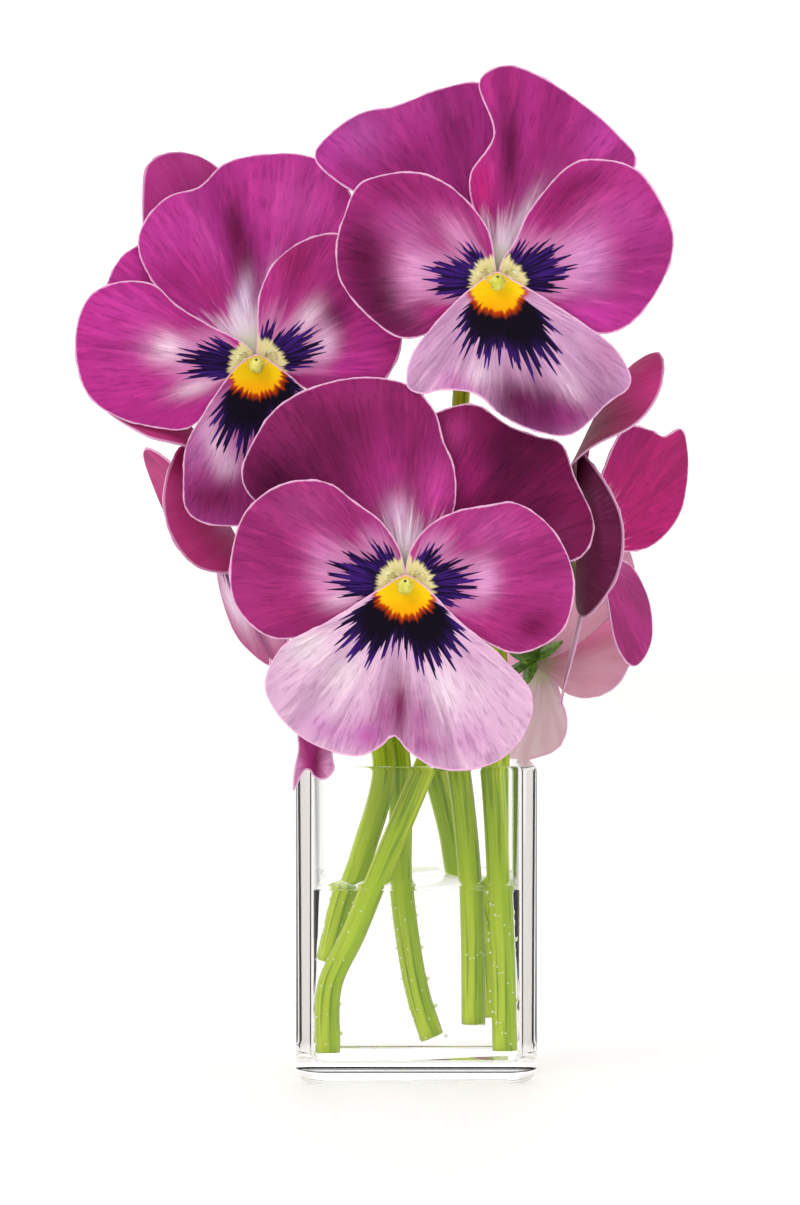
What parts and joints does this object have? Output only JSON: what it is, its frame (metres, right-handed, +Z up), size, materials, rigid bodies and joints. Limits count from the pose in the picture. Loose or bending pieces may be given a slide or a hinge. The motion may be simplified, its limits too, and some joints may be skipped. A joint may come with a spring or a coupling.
{
  "type": "pansies in a glass vase",
  "caption": "Cut pansies with dark blotched faces and yellow eyes, standing in a small square clear glass vase of water.",
  "frame": {"origin": "centre of the vase's underside", "axes": "+Z up; the three largest flowers face -Y"},
  "size_m": [0.1094, 0.0942, 0.1762],
  "materials": {
    "petal": "velvety magenta petal, paler at the rim",
    "pale_petal": "pale pink petal with a dark blotch and an orange throat",
    "calyx": "smooth green leaf",
    "pistil": "moist yellow-green",
    "stem": "smooth, slightly translucent green stem",
    "vase": "clear pressed glass",
    "water": "clear water"
  },
  "bodies": {
    "root": {"vase": "vase", "water": "water", "top_upper_left_petal": "petal", "top_upper_right_petal": "petal", "top_side_left_petal": "petal", "top_side_right_petal": "petal", "top_lower_petal": "pale_petal", "top_calyx": "calyx", "top_pistil": "pistil", "top_stem": "stem", "left_upper_left_petal": "petal", "left_upper_right_petal": "petal", "left_side_left_petal": "petal", "left_side_right_petal": "petal", "left_lower_petal": "pale_petal", "left_calyx": "calyx", "left_pistil": "pistil", "left_stem": "stem", "front_upper_left_petal": "petal", "front_upper_right_petal": "petal", "front_side_left_petal": "petal", "front_side_right_petal": "petal", "front_lower_petal": "pale_petal", "front_calyx": "calyx", "front_pistil": "pistil", "front_stem": "stem", "right_upper_left_petal": "petal", "right_upper_right_petal": "petal", "right_side_left_petal": "petal", "right_side_right_petal": "petal", "right_lower_petal": "pale_petal", "right_calyx": "calyx", "right_pistil": "pistil", "right_stem": "stem", "far_left_upper_left_petal": "petal", "far_left_upper_right_petal": "petal", "far_left_side_left_petal": "petal", "far_left_side_right_petal": "petal", "far_left_lower_petal": "pale_petal", "far_left_calyx": "calyx", "far_left_pistil": "pistil", "far_left_stem": "stem", "low_upper_left_petal": "petal", "low_upper_right_petal": "petal", "low_side_left_petal": "petal", "low_side_right_petal": "petal", "low_lower_petal": "pale_petal", "low_calyx": "calyx", "low_pistil": "pistil", "low_stem": "stem", "back_upper_left_petal": "petal", "back_upper_right_petal": "petal", "back_side_left_petal": "petal", "back_side_right_petal": "petal", "back_lower_petal": "pale_petal", "back_calyx": "calyx", "back_pistil": "pistil", "back_stem": "stem", "loose_petal": "petal"}
  },
  "joints": []
}
